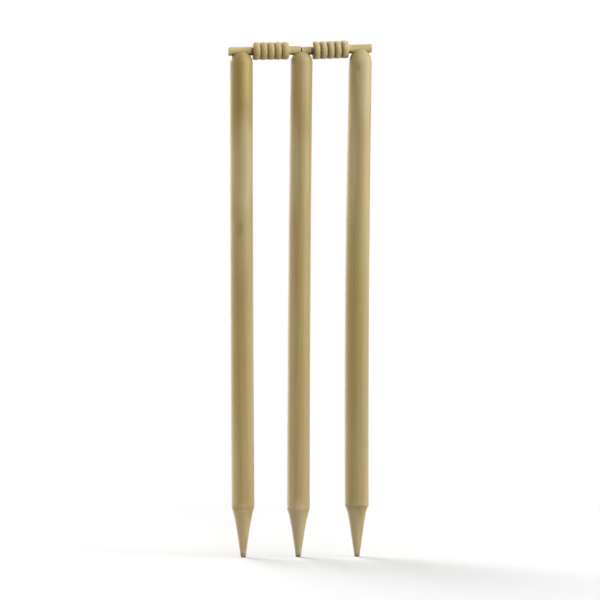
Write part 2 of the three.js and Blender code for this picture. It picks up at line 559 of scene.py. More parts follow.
class BailTree(TurnedTree):
    """The tree of a bail: a row of alike beads between a short spigot and a long one."""

    SIZES: ClassVar[tuple[str, ...]] = (
        "Short radius", "Long radius", "Barrel radius", "Swell", "End swell", "Crease",
        "Bead length", "Short length", "Long length", "Edge", "Fillet",
    )
    BEAD_ROWS: ClassVar[int] = 24
    CREASE_POWER: ClassVar[int] = 7

    def __init__(self) -> None:
        """Builds the tree, patch by patch from the short end to the long one."""
        super().__init__("Bail", {**dict.fromkeys(self.SIZES, 0.0), "Bead count": 5})
        size, edge, fillet = self.size, self.size["Edge"], self.size["Fillet"]
        thin, thick, start = size["Short radius"], size["Long radius"], size["Short length"]
        barrel = size["Barrel radius"] - size["End swell"]
        length, count = size["Bead length"], size["Bead count"]
        stop = start + length * count
        end = stop + size["Long length"]

        self.straight(6, (0.0, 0.0), (thin - edge, 0.0))
        self.rounded_edge(thin, 0.0, outward=True)
        self.straight(16, (thin, edge), (thin, start - fillet))
        self.corner(thin, start, rises=True)
        self.straight(4, (thin + fillet, start), (barrel, start))
        self.beads(start, 1, first=True)
        self.beads(start + length, count - 2)
        self.beads(stop - length, 1, last=True)
        self.straight(4, (barrel, stop), (thick + fillet, stop))
        self.corner(thick, stop, rises=False)
        self.straight(28, (thick, stop + fillet), (thick, end - edge))
        self.rounded_edge(thick, end, outward=False)
        self.straight(6, (thick - edge, end), (0.0, end))
        self.close(waviness=0.05 * MM, dent_depth=0.15 * MM)

    def straight(self, rows: int, start: Flat, end: Flat) -> None:
        """Adds a straight stretch of the profile.

        Args:
            rows: How many rows of faces it has.
            start: The radius and the height at its start.
            end: The radius and the height at its end.
        """

        def profile(share: Field) -> Flat:
            """The radius and the height at a share of the way."""
            return between(start[0], end[0], share), between(start[1], end[1], share)

        self.turned(rows, profile)

    def rounded_edge(self, radius: Number, height: Number, outward: bool) -> None:
        """Adds the rounded edge between a spigot's flat end and its side.

        Args:
            radius: The spigot's radius.
            height: The height of its flat end.
            outward: True at the lower end, where the profile runs out from the axis.
        """
        size = self.size["Edge"]

        def profile(share: Field) -> Flat:
            """A quarter circle.

            Args:
                share: The share of the way along it.

            Returns:
                The radius and the height.
            """
            along, rise = self.sine(share * QUARTER_TURN), self.cosine(share * QUARTER_TURN)
            if outward:
                return radius - size + along * size, height + size - rise * size
            return radius - size + rise * size, height - size + along * size

        self.turned(4, profile)

    def corner(self, radius: Number, height: Number, rises: bool) -> None:
        """Adds the hollow corner between a spigot and the barrel's end.

        Args:
            radius: The spigot's radius.
            height: The height of the barrel's end.
            rises: True where the profile runs out from the spigot.
        """
        fillet = self.size["Fillet"]

        def profile(share: Field) -> Flat:
            """A quarter circle.

            Args:
                share: The share of the way along it.

            Returns:
                The radius and the height.
            """
            angle = (share if rises else 1 - share) * QUARTER_TURN
            along = (1 - self.sine(angle)) * fillet
            out = radius + (1 - self.cosine(angle)) * fillet
            return out, (height - along) if rises else (height + along)

        self.turned(4, profile)

    def beads(self, start: Field, count: Number, first: bool = False, last: bool = False) -> None:
        """Adds beads, each of which swells gently and drops into a narrow crease at each side.

        Args:
            start: The height at which they start.
            count: How many they are.
            first: True for the first bead, which has no crease at its near side.
            last: True for the last one, which has none at its far side.
        """
        size = self.size

        def profile(share: Field) -> Flat:
            """A bead's rounded side.

            Args:
                share: The share of the way along it.

            Returns:
                The radius, and the height over the bead's own start.
            """
            across = self.cosine(share * math.pi) * -1.0
            square = across * across
            depth = square * size["Swell"] + square ** self.CREASE_POWER * size["Crease"]
            if first or last:
                outer = self.math("LESS_THAN" if first else "GREATER_THAN", across, 0.0)
                depth = depth + (square * size["End swell"] - depth) * outer
            return size["Barrel radius"] - depth, (across + 1) * size["Bead length"] / 2

        self.turned(self.BEAD_ROWS, profile)
        ends = {"Start Location": start, "Offset": size["Bead length"]}
        line = {name: self.combine(0.0, 0.0, height) for name, height in ends.items()}
        places = self.add("GeometryNodeMeshLine", {"Count": count, **line})
        shape = {"Points": places.outputs[0], "Instance": self.patches.pop()}
        row = self.add("GeometryNodeInstanceOnPoints", shape)
        self.patches.append(self.add("GeometryNodeRealizeInstances", {0: row.outputs[0]}).outputs[0])


class Group(Graph):
    """A shader group with named inputs and outputs, which reads a place in millimetres."""

    def __init__(self, name: str, inputs: dict[str, object]) -> None:
        """Starts the group.

        Args:
            name: The group's name.
            inputs: Its inputs, apart from the place, and their default values.
        """
        super().__init__(bpy.data.node_groups.new(name, "ShaderNodeTree"))
        for label, value in {"Vector": (0.0, 0.0, 0.0), **inputs}.items():
            self.declare("INPUT", label, value)
        self.given = self.inputs()
        self.place = self.separate(self.given["Vector"])

    def end(self, values: dict[str, Field]) -> bpy.types.NodeTree:
        """Gives the group its outputs.

        Args:
            values: What each of them puts out, by name.

        Returns:
            The finished group.
        """
        for name in values:
            self.declare("OUTPUT", name, 0.0)
        self.add("NodeGroupOutput", values)
        return self.tree


class Effects:
    """The shader groups that the finishes share. All of them take Z along the grain.

    A pattern is told by its size across the grain and its size along it, in millimetres, and one of
    the grain also by a shift that parts it from the others. A step is told by where it starts and ends.
    """

    WOBBLE: ClassVar[Triple] = (38.0, 230.0, 0.0)
    PORES: ClassVar[Triple] = (0.34, 5.5, 3.0)
    FIBRES: ClassVar[Triple] = (0.7, 42.0, 7.0)
    STREAKS: ClassVar[Triple] = (9.0, 260.0, 11.0)
    CLOUDS: ClassVar[Triple] = (34.0, 120.0, 17.0)
    PORE_STEP: ClassVar[Span] = (0.60, 0.72)
    LATE_PORES: ClassVar[float] = 0.15
    STREAK_STEP: ClassVar[Span] = (0.34, 0.66)
    SIDE_DRIFT: ClassVar[float] = 0.6
    SWIRL_STRETCH: ClassVar[float] = 2.4
    UNEVEN_SPAN: ClassVar[float] = 11.0
    UNEVEN_RINGS: ClassVar[float] = 1.6
    EARLY_WOOD: ClassVar[float] = 0.14
    LATE_WOOD: ClassVar[float] = 0.8
    FINE_WIDTH: ClassVar[float] = 40.0
    LINE_WIDTH: ClassVar[float] = 60.0
    LINE_PITCHES: ClassVar[float] = 3.0
    LINE_STEP: ClassVar[Span] = (0.74, 0.80)
    SCUFF_SIZE: ClassVar[Span] = (3.0, 5.0)
    RAGGED_SCUFF: ClassVar[float] = 1.8
    KNOCK_SIZE: ClassVar[Span] = (13.0, 21.0)
    KNOCK_CHOSEN: ClassVar[Span] = (0.66, 0.68)
    KNOCK_EDGE: ClassVar[Span] = (0.02, 0.11)
    DUST_SIZE: ClassVar[Span] = (2.2, 6.0)
    DUST_STEP: ClassVar[Span] = (0.52, 0.70)
    HOLLOW_FADE: ClassVar[float] = 0.4

    def __init__(self) -> None:
        """Builds the groups."""
        self.grain = self.build_grain()
        self.turning = self.build_turning()
        self.wear = self.build_wear()
        self.spot = self.build_spot()
        self.hollow = self.build_hollow_shade()

    def build_grain(self) -> bpy.types.NodeTree:
        """Growth rings about a pith, pores in their early wood, fibres and streaks.

        Returns:
            The finished group.
        """
        swirl = {"Swirl": (0.0, 0.0, -900.0), "Swirl size": 12.0, "Swirl rise": 0.0}
        rings = {"Pith": (0.0, 60.0, 0.0), "Drift": 14.0, "Ring gap": 3.2, "Waviness": 1.6, "Seed": 0.0}
        group = Group("Wood grain", {**rings, **swirl})
        given, (x, y, z) = group.given, group.place
        pith_x, pith_y, _ = group.separate(given["Pith"])
        seed = given["Seed"]

        def pattern(across: float, along: float, shift: float, detail: float = 2.0) -> Field:
            """Noise that is drawn out along the grain."""
            place = group.combine(x / across + seed + shift, y / across - seed, z / along + seed)
            return group.noise(place, detail)

        swirl_x, swirl_y, swirl_z = group.separate(given["Swirl"])
        wide, tall = given["Swirl size"], given["Swirl size"] * self.SWIRL_STRETCH
        off = group.length((x - swirl_x) / wide, (y - swirl_y) / wide)
        bulge = 1 - group.step(group.length(off, (z - swirl_z) / tall), 0.0, 1.0)

        drift = given["Drift"] * z / GRAIN_SPAN
        out = group.length(x - pith_x - drift, y - pith_y - drift * self.SIDE_DRIFT)
        wobble = (pattern(*self.WOBBLE) - 0.5) * given["Waviness"] * 2
        gaps = group.noise(group.combine(out / self.UNEVEN_SPAN, seed, 0.0), 1.0)
        uneven = (gaps - 0.5) * self.UNEVEN_RINGS
        turn = (out + wobble + bulge * given["Swirl rise"]) / given["Ring gap"] + uneven
        phase = group.math("FRACT", turn)
        early = group.step(phase, 0.0, self.EARLY_WOOD)
        ring = early * (1 - group.step(phase, self.EARLY_WOOD, self.LATE_WOOD))
        pores = group.step(pattern(*self.PORES, detail=1.0), *self.PORE_STEP)
        return group.end({
            "Ring": ring,
            "Pores": pores * (ring * (1 - self.LATE_PORES) + self.LATE_PORES),
            "Fibre": pattern(*self.FIBRES, detail=3.0),
            "Streak": group.step(pattern(*self.STREAKS), *self.STREAK_STEP),
            "Cloud": pattern(*self.CLOUDS),
        })

    def build_turning(self) -> bpy.types.NodeTree:
        """The faint rings that the chisel and the sandpaper leave round a turned piece.

        Returns:
            The finished group.
        """
        group = Group("Turning marks", {"Pitch": 0.9, "Seed": 0.0})
        (x, y, z), pitch, seed = group.place, group.given["Pitch"], group.given["Seed"]
        wide, gap = self.FINE_WIDTH, pitch * self.LINE_PITCHES
        fine = group.noise(group.combine(x / wide, y / wide, z / pitch + seed), 3.0)
        sparse = group.noise(group.combine(seed, x / self.LINE_WIDTH, z / gap), 0.0)
        return group.end({"Height": fine, "Line": group.step(sparse, *self.LINE_STEP)})

    def build_wear(self) -> bpy.types.NodeTree:
        """Scuffing that is strongest at the foot of the piece, small knocks, and dust.

        Returns:
            The finished group.
        """
        group = Group("Handling wear", {"Reach": 10.0, "Seed": 0.0})
        (x, y, z), reach, seed = group.place, group.given["Reach"], group.given["Seed"]
        wide, tall = self.SCUFF_SIZE
        rough = group.noise(group.combine(x / wide + seed, y / wide, z / tall), 4.0)
        height = z / reach + (rough - 0.5) * self.RAGGED_SCUFF
        wide, tall = self.KNOCK_SIZE
        cells = group.combine(x / wide + seed, y / wide, z / tall)
        wide, tall = self.DUST_SIZE
        dust = group.noise(group.combine(x / wide, y / wide + seed, z / tall), 5.0)
        return group.end({
            "Scuff": 1 - group.step(height, 0.0, 1.0),
            "Knocks": group.dots(cells, 1, self.KNOCK_CHOSEN, self.KNOCK_EDGE),
            "Dust": group.step(dust, *self.DUST_STEP),
        })

    def build_spot(self) -> bpy.types.NodeTree:
        """A soft-edged spot of a given place and size.

        Returns:
            The finished group.
        """
        inputs = {"Centre": (0.0, 0.0, 0.0), "Radii": (1.0, 1.0, 1.0), "Core": 0.3}
        group = Group("Soft spot", inputs)
        centre, radii = (group.separate(group.given[name]) for name in ("Centre", "Radii"))
        x, y, z = ((a - b) / radius for a, b, radius in zip(group.place, centre, radii))
        away = group.length(group.length(x, y), z)
        return group.end({"Mask": 1 - group.step(away, group.given["Core"], 1.0)})

    def build_hollow_shade(self) -> bpy.types.NodeTree:
        """Dirt, together with painted shade, in turned hollows, by the distance from the axis, in one
        stretch.

        Returns:
            The finished group.
        """
        inputs = {"Inner radius": 11.0, "Outer radius": 13.0, "Start": 0.0, "End": 50.0}
        group = Group("Hollow dirt", inputs)
        given, (x, y, z), fade = group.given, group.place, self.HOLLOW_FADE
        within = group.step(z, given["Start"], given["Start"] + fade)
        before = 1 - group.step(z, given["End"] - fade, given["End"])
        deep = 1 - group.step(group.length(x, y), given["Inner radius"], given["Outer radius"])
        return group.end({"Mask": deep * within * before})


@dataclass(frozen=True)
class Spot:
    """A mark at one place. Marks include flecks, darker streaks and lathe lines in the wood, and painted
    shade and highlights.
    """

    centre: Triple
    radii: Triple
    colour: Colour
    strength: float
    core: float = 0.3


@dataclass(frozen=True)
class FlankShade:
    """Painted shade on one flank of every bead's front, the flank away from the side light, fading over a
    share of the bead.

    The length is negative where the shaded flank is the one farther along the grain.
    """

    length: float
    reach: float
    colour: Colour
    strength: float = 0.9

    FADE: ClassVar[Span] = (-8.0, 2.0)

    def mask(self, graph: Graph, place: Field, start: float, end: float) -> Field:
        """Where the painted shade lies, from 0 to 1.

        Args:
            graph: The material's graph.
            place: The place on the bail, in millimetres along its own axes.
            start: Where the beads start along the grain.
            end: Where they end.

        Returns:
            The tone's mask.
        """
        x, _, z = graph.separate(place)
        share = graph.math("FRACT", (z - start) * (1 / self.length))
        front = graph.step(x, *self.FADE)
        inside = graph.math("GREATER_THAN", z, start) * graph.math("LESS_THAN", z, end)
        return (1 - graph.step(share, 0.0, self.reach)) * front * inside


@dataclass(frozen=True)
class Mark:
    """A mark on the front of a stump, by its distance from the middle line and its height. Marks include
    painted light and shade.
    """

    across: float
    height: float
    width: float
    length: float
    colour: Colour
    strength: float
    core: float = 0.3


@dataclass(frozen=True)
class WoodFinish:
    """One length of pale wood under thin clear satin lacquer.

    Places are in millimetres along the piece's own axes, with Z along the grain. A hollow is told by
    the two radii between which its dirt and painted shade fade out, and by where it starts and ends along
    the grain.
    The tables in capitals say how much each effect does to the colour, the light, the roughness and
    the relief.
    """

    name: str
    green: Colour
    warm: Colour
    deep: Colour
    pith: Triple
    seed: float
    ring_gap: float = 3.4
    drift: float = 14.0
    waviness: float = 1.6
    swirl: Triple = (0.0, 0.0, -900.0)
    swirl_rise: float = 0.0
    ring_strength: float = 0.16
    foot_tone: float = 1.0
    crown_tone: float = 1.0
    roughness: float = 0.5
    coat: float = 0.2
    foot_coat: float = 0.5
    sheen: float = 0.4
    scuff_reach: float = 9.0
    pitch: float = 0.9
    hollow: tuple[float, float, float, float] | None = None
    flank: FlankShade | None = None
    spots: tuple[Spot, ...] = ()

    PORE: ClassVar[Colour] = (0.36, 0.28, 0.16)
    # Dirt and painted shade, for the bails' creases and the under sides of their spigots.
    DIRT: ClassVar[Colour] = (0.24, 0.16, 0.06)
    SCUFF: ClassVar[Colour] = (0.47, 0.42, 0.37)
    DUST: ClassVar[Colour] = (0.80, 0.76, 0.66)
    TINTS: ClassVar[dict[str, float]] = {
        "Pores": 0.34, "Dirt": 0.92, "Line": 0.10, "Dust": 0.05, "Knocks": 0.35, "Scuff": 0.62,
    }
    LIGHT: ClassVar[dict[str, float]] = {"Fibre": 0.12, "Cloud": 0.16}
    LEAST_LIGHT: ClassVar[float] = 0.86
    DULL: ClassVar[dict[str, float]] = {"Pores": 0.14, "Scuff": 0.30, "Dust": 0.06, "Dirt": 0.2}
    CLOUD_DULL: ClassVar[float] = 0.08
    RELIEF: ClassVar[dict[str, float]] = {"Fibre": 0.25, "Height": 0.22, "Pores": -0.5, "Knocks": -0.9}
    RAISED_FIBRE: ClassVar[float] = 0.6
    BUMP: ClassVar[dict[str, float]] = {"Strength": 0.35, "Distance": 0.12 * MM}
    PLAIN: ClassVar[dict[str, float]] = {
        "Sheen Roughness": 0.35, "Specular IOR Level": 0.35, "Coat Roughness": 0.42,
    }

    @staticmethod
    def place(graph: Graph, own_frame: Matrix) -> Field:
        """The place on the piece, in millimetres along its own axes.

        Args:
            graph: The material's graph.
            own_frame: Takes a point of the scene to the piece's own axes, in metres.

        Returns:
            The place as a vector.
        """
        return graph.field("ShaderNodeMapping", {
            "Vector": graph.field("ShaderNodeTexCoord", {}, "Object"),
            "Location": tuple(own_frame.to_translation() / MM),
            "Rotation": tuple(own_frame.to_euler()),
            "Scale": (1 / MM, 1 / MM, 1 / MM),
        })

    def effects(self, graph: Graph, groups: Effects, place: Field) -> dict[str, Number]:
        """Places the grain, the turning marks, the wear and the dirt of the hollows.

        Args:
            graph: The material's graph.
            groups: The shared shader groups.
            place: The place on the piece.

        Returns:
            Each effect's mask or height by name.
        """
        common = {"Vector": place, "Seed": self.seed}
        shown = graph.use(groups.grain, {
            **common,
            "Pith": self.pith,
            "Drift": self.drift,
            "Ring gap": self.ring_gap,
            "Waviness": self.waviness,
            "Swirl": self.swirl,
            "Swirl rise": self.swirl_rise,
        })
        shown |= graph.use(groups.turning, {**common, "Pitch": self.pitch})
        shown |= graph.use(groups.wear, {**common, "Reach": self.scuff_reach})
        shown["Dirt"] = 0.0
        if self.hollow:
            values = dict(zip(("Inner radius", "Outer radius", "Start", "End"), self.hollow))
            shown["Dirt"] = graph.use(groups.hollow, {"Vector": place, **values})["Mask"]
        return shown

    @staticmethod
    def total(shown: dict[str, Number], shares: dict[str, float], start: float = 0.0) -> Number:
        """Adds up some of the effects by their shares."""
        return sum((shown[name] * share for name, share in shares.items()), start)

    def colour(self, graph: Graph, groups: Effects, place: Field, shown: dict[str, Number]) -> Field:
        """Paints the wood, its light and deep stretches, its marks, painted shade and highlights, and what
        lies on it.

        Args:
            graph: The material's graph.
            groups: The shared shader groups.
            place: The place on the piece.
            shown: The effects by name.

        Returns:
            The colour.
        """
        colour = graph.mix(shown["Streak"], linear(self.green), linear(self.warm))
        colour = graph.mix(shown["Ring"] * self.ring_strength, colour, linear(self.deep))
        colour = graph.mix(shown["Pores"] * self.TINTS["Pores"], colour, linear(self.PORE))
        rise = graph.separate(place)[2] / GRAIN_SPAN
        tone = self.foot_tone + rise * (self.crown_tone - self.foot_tone)
        light = self.total(shown, self.LIGHT, self.LEAST_LIGHT) * tone
        colour = graph.field("ShaderNodeVectorMath", {0: colour, "Scale": light}, operation="SCALE")
        # The spots hold marks of the wood, and also painted shade and painted highlights.
        for spot in self.spots:
            values = {"Vector": place, "Centre": spot.centre, "Radii": spot.radii, "Core": spot.core}
            mask = graph.use(groups.spot, values)["Mask"]
            colour = graph.mix(mask * spot.strength, colour, linear(spot.colour))
        # Painted shade on the left flank of each bead.
        if self.flank and self.hollow:
            mask = self.flank.mask(graph, place, *self.hollow[2:])
            colour = graph.mix(mask * self.flank.strength, colour, linear(self.flank.colour))
        # The creases get dirt and painted shade.
        tints = {"Dirt": self.DIRT} if self.hollow else {}
        tints |= {"Line": self.deep, "Dust": self.DUST, "Knocks": self.deep, "Scuff": self.SCUFF}
        for name, tint in tints.items():
            colour = graph.mix(shown[name] * self.TINTS[name], colour, linear(tint))
        return colour

    def material(self, groups: Effects, own_frame: Matrix) -> bpy.types.Material:
        """Builds the finish's material for one piece.

        Args:
            groups: The shared shader groups.
            own_frame: Takes a point of the scene to the piece's own axes, in metres.

        Returns:
            The material.
        """
        made = bpy.data.materials.new(self.name)
        made.use_nodes = True
        made.diffuse_color = linear(self.warm)
        graph = Graph(made.node_tree)
        place = self.place(graph, own_frame)
        shown = self.effects(graph, groups, place)

        dull = self.total(shown, self.DULL) + (self.roughness - self.CLOUD_DULL / 2)
        height = self.total(shown, self.RELIEF) - shown["Scuff"] * shown["Fibre"] * self.RAISED_FIBRE
        coat: Number = self.coat
        if self.foot_coat:
            coat = coat + (1 - graph.separate(place)[2] / GRAIN_SPAN) * self.foot_coat
        sockets = {
            "Base Color": self.colour(graph, groups, place, shown),
            "Roughness": dull + shown["Cloud"] * self.CLOUD_DULL,
            "Normal": graph.field("ShaderNodeBump", {"Height": height, **self.BUMP}),
            "Coat Weight": coat,
            "Sheen Weight": self.sheen,
            **self.PLAIN,
        }
        for name, value in sockets.items():
            graph.feed(made.node_tree.nodes["Principled BSDF"].inputs[name], value)
        return made


class Side(Enum):
    """Which way a bail's long spigot points along the row."""

    LEFT = -1
    RIGHT = 1


@dataclass
class TurnedPiece:
    """A piece of the set that a geometry tree turns and that stands in for its solid."""

    node: str
    body: str
    slot: str
    finish: WoodFinish

    def sizes(self) -> dict[str, float]:
        """The piece's own lengths in metres, by the names of the tree's inputs.

        Returns:
            The lengths. A diameter is given as the radius.
        """
        lengths = {}
        for entry in fields(self):
            name, value = entry.name, getattr(self, entry.name)
            if isinstance(value, float):
                label = name.replace("diameter", "radius").replace("_", " ").capitalize()
                lengths[label] = (value / 2 if "diameter" in name else value) * MM
        return lengths

    def make(self, tree: TurnedTree, values: dict[str, object], out: Matrix, groups: Effects) -> None:
        """Runs the tree, puts the result in its place and joins it to its body.

        Args:
            tree: The geometry tree.
            values: Its inputs by name, apart from the piece's own lengths.
            out: Takes a point on the piece's own axes to the scene.
            groups: The shared shader groups.
        """
        name = self.node + "_wood"
        piece = put_in_scene(name, bpy.data.meshes.new(name))
        shape = piece.modifiers.new("Shape", "NODES")
        shape.node_group = tree.tree
        finish = {"Material": self.finish.material(groups, out.inverted()), "Seed": self.finish.seed}
        values = {**self.sizes(), **values, **finish}
        for item in tree.tree.interface.items_tree:
            if item.in_out == "INPUT" and item.name in values:
                shape[item.identifier] = values[item.name]
        graph = bpy.context.evaluated_depsgraph_get()
        mesh = bpy.data.meshes.new_from_object(piece.evaluated_get(graph))
        mesh.name = name
        mesh.transform(out)
        piece.modifiers.clear()
        piece.data = mesh
        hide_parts(self.node)
        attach(piece, self.body)
        LOG.info("%s: %d faces on body %s", piece.name, len(mesh.polygons), self.body)


@dataclass
class Stump(TurnedPiece):
    """A turned stump that stands on its point."""

    crown_diameter: float = 34.0
    foot_diameter: float = 34.5
    crown_outset: float = 0.0
    bow: float = 1.0
    belly: float = 0.0
    point_diameter: float = 7.6
    point_edge: float = 0.5
    taper_height: float = 76.0
    hollow_length: float = 17.5
    hollow_depth: float = 2.9
    crown_height: float = 20.0
    groove_depth: float = 8.5
    groove_radius: float = 7.0
    lip_width: float = 0.8
    marks: tuple[Mark, ...] = ()

    FULL_HEIGHT: ClassVar[float] = 762.0
    FRONT_TURN: ClassVar[float] = math.radians(8.0)
    MARK_DEPTH: ClassVar[float] = 3.0

    def radius(self, height: float) -> float:
        """The stump's radius, near enough to place a mark.

        Args:
            height: The height over the point.

        Returns:
            The radius.
        """
        if height < self.taper_height:
            cone = self.foot_diameter / 2 - self.hollow_depth - self.point_diameter / 2
            return self.point_diameter / 2 + cone * height / self.taper_height
        return self.crown_diameter / 2

    def spot(self, mark: Mark) -> Spot:
        """Puts a mark on the surface of the stump's front, on its own axes.

        Args:
            mark: The mark.

        Returns:
            The spot that paints it.
        """
        sine, cosine = math.sin(self.FRONT_TURN), math.cos(self.FRONT_TURN)
        shift = bend(mark.height / self.FULL_HEIGHT, -self.crown_outset, self.bow)
        out = math.sqrt(max(self.radius(mark.height) ** 2 - mark.across**2, 0.0))
        x = mark.across * cosine - out * sine + shift
        y = -mark.across * sine - out * cosine
        radii = (mark.width, mark.width * self.MARK_DEPTH, mark.length)
        return Spot((x, y, mark.height), radii, mark.colour, mark.strength, mark.core)

    def tip(self) -> Vector:
        """The middle of the flat end of the stump's point, from the record's mounts."""
        name = self.node.replace("_stump", "_point")
        return Vector(next(m["pos_m"] for m in frame["record"]["mounts"] if m["name"] == name))

    def height(self) -> float:
        """Works out how high the crown would be if the groove hadn't taken the top off its dome.

        Returns:
            The height over the floor, in metres.
        """
        lip = self.groove_radius * math.sqrt(1 - (self.lip_drop() / self.groove_radius) ** 2)
        cut = self.crown_height * MM * (1 - math.sqrt(1 - (2 * lip / self.crown_diameter) ** 2))
        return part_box(self.node)[1].z + cut

    def lip_drop(self) -> float:
        """Works out how far the groove's lip lies under the groove's axis at the middle of the crown.

        Returns:
            The drop, in millimetres.
        """
        rise = self.crown_height - self.groove_depth + self.groove_radius
        sine = lip_sine(self.crown_diameter / 2, self.crown_height, rise, self.groove_radius)
        return rise - self.crown_height * sine

    def build(self, tree: TurnedTree, groups: Effects) -> None:
        """Builds the stump.

        Args:
            tree: The stumps' geometry tree.
            groups: The shared shader groups.
        """
        height = self.height()
        values = {
            "Height": height,
            "Groove axis": height + (self.groove_radius - self.groove_depth) * MM,
            "Belly": self.belly / 2 * MM,
            "Lean": -self.crown_outset * MM,
        }
        self.finish = replace(self.finish, spots=tuple(self.spot(mark) for mark in self.marks))
        self.make(tree, values, Matrix.Translation(self.tip()), groups)


@dataclass
class Bail(TurnedPiece):
    """A turned bail, which lies in the grooves of two crowns."""

    side: Side = Side.LEFT
    short_length: float = 18.97
    long_length: float = 37.3
    short_diameter: float = 13.4
    long_diameter: float = 13.4
    barrel_diameter: float = 27.2
    bead_count: int = 5
    bead_length: float = 10.7
    swell: float = 1.0
    end_swell: float = 0.8
    crease: float = 0.35
    edge: float = 0.5
    fillet: float = 0.8
    columns: int = 88

    def end(self, direction: int) -> Vector:
        """The middle of one end face of the solid.

        Args:
            direction: 1 for the end towards the right and -1 for the other.

        Returns:
            The point, in metres.
        """
        places = [vertex.co for vertex in frame["nodes"][self.node].data.vertices]
        furthest = max(direction * place.x for place in places)
        near = [place for place in places if direction * place.x > furthest - 2 * self.edge * MM - MM]
        return sum(near, Vector()) / len(near)

    def out(self) -> Matrix:
        """Finds where the bail's own axes lie, with Z from its short end to its long one.

        Returns:
            The matrix that takes a point on them to the scene.
        """
        start = self.end(-self.side.value)
        axis = (self.end(self.side.value) - start).normalized()
        front = Vector((0.0, -1.0, 0.0))
        turn = Matrix((front, axis.cross(front), axis)).transposed().to_4x4()
        return Matrix.Translation(start) @ turn

    def build(self, tree: TurnedTree, groups: Effects) -> None:
        """Builds the bail with the bails' geometry tree and the shared shader groups."""
        counts = {"Bead count": self.bead_count, "Columns": self.columns}
        self.make(tree, counts, self.out(), groups)


@dataclass
class Lamp:
    """A soft lamp. Its turn is counted from the front towards the right, and no distance is far off."""

    name: str
    turn: float
    height: float
    strength: float
    width: float
    distance: float = 0.0

    AIM_HEIGHT: ClassVar[float] = 380.0

    def build(self) -> None:
        """Places the lamp, which faces the middle of the set."""
        turn, height = math.radians(self.turn), math.radians(self.height)
        across, back = math.sin(turn) * math.cos(height), -math.cos(turn) * math.cos(height)
        towards = Vector((across, back, math.sin(height)))
        light = bpy.data.lights.new(self.name, "AREA" if self.distance else "SUN")
        if self.distance:
            light.shape = "DISK"
            light.size = 2 * self.distance * MM * math.tan(math.radians(self.width / 2))
            light.energy = self.strength * math.pi * (self.distance * MM) ** 2
        else:
            light.angle = math.radians(self.width)
            light.energy = self.strength
        lamp = put_in_scene(self.name, light)
        lamp.location = Vector((0.0, 0.0, self.AIM_HEIGHT * MM)) + towards * self.distance * MM
        lamp.rotation_euler = towards.to_track_quat("Z", "Y").to_euler()


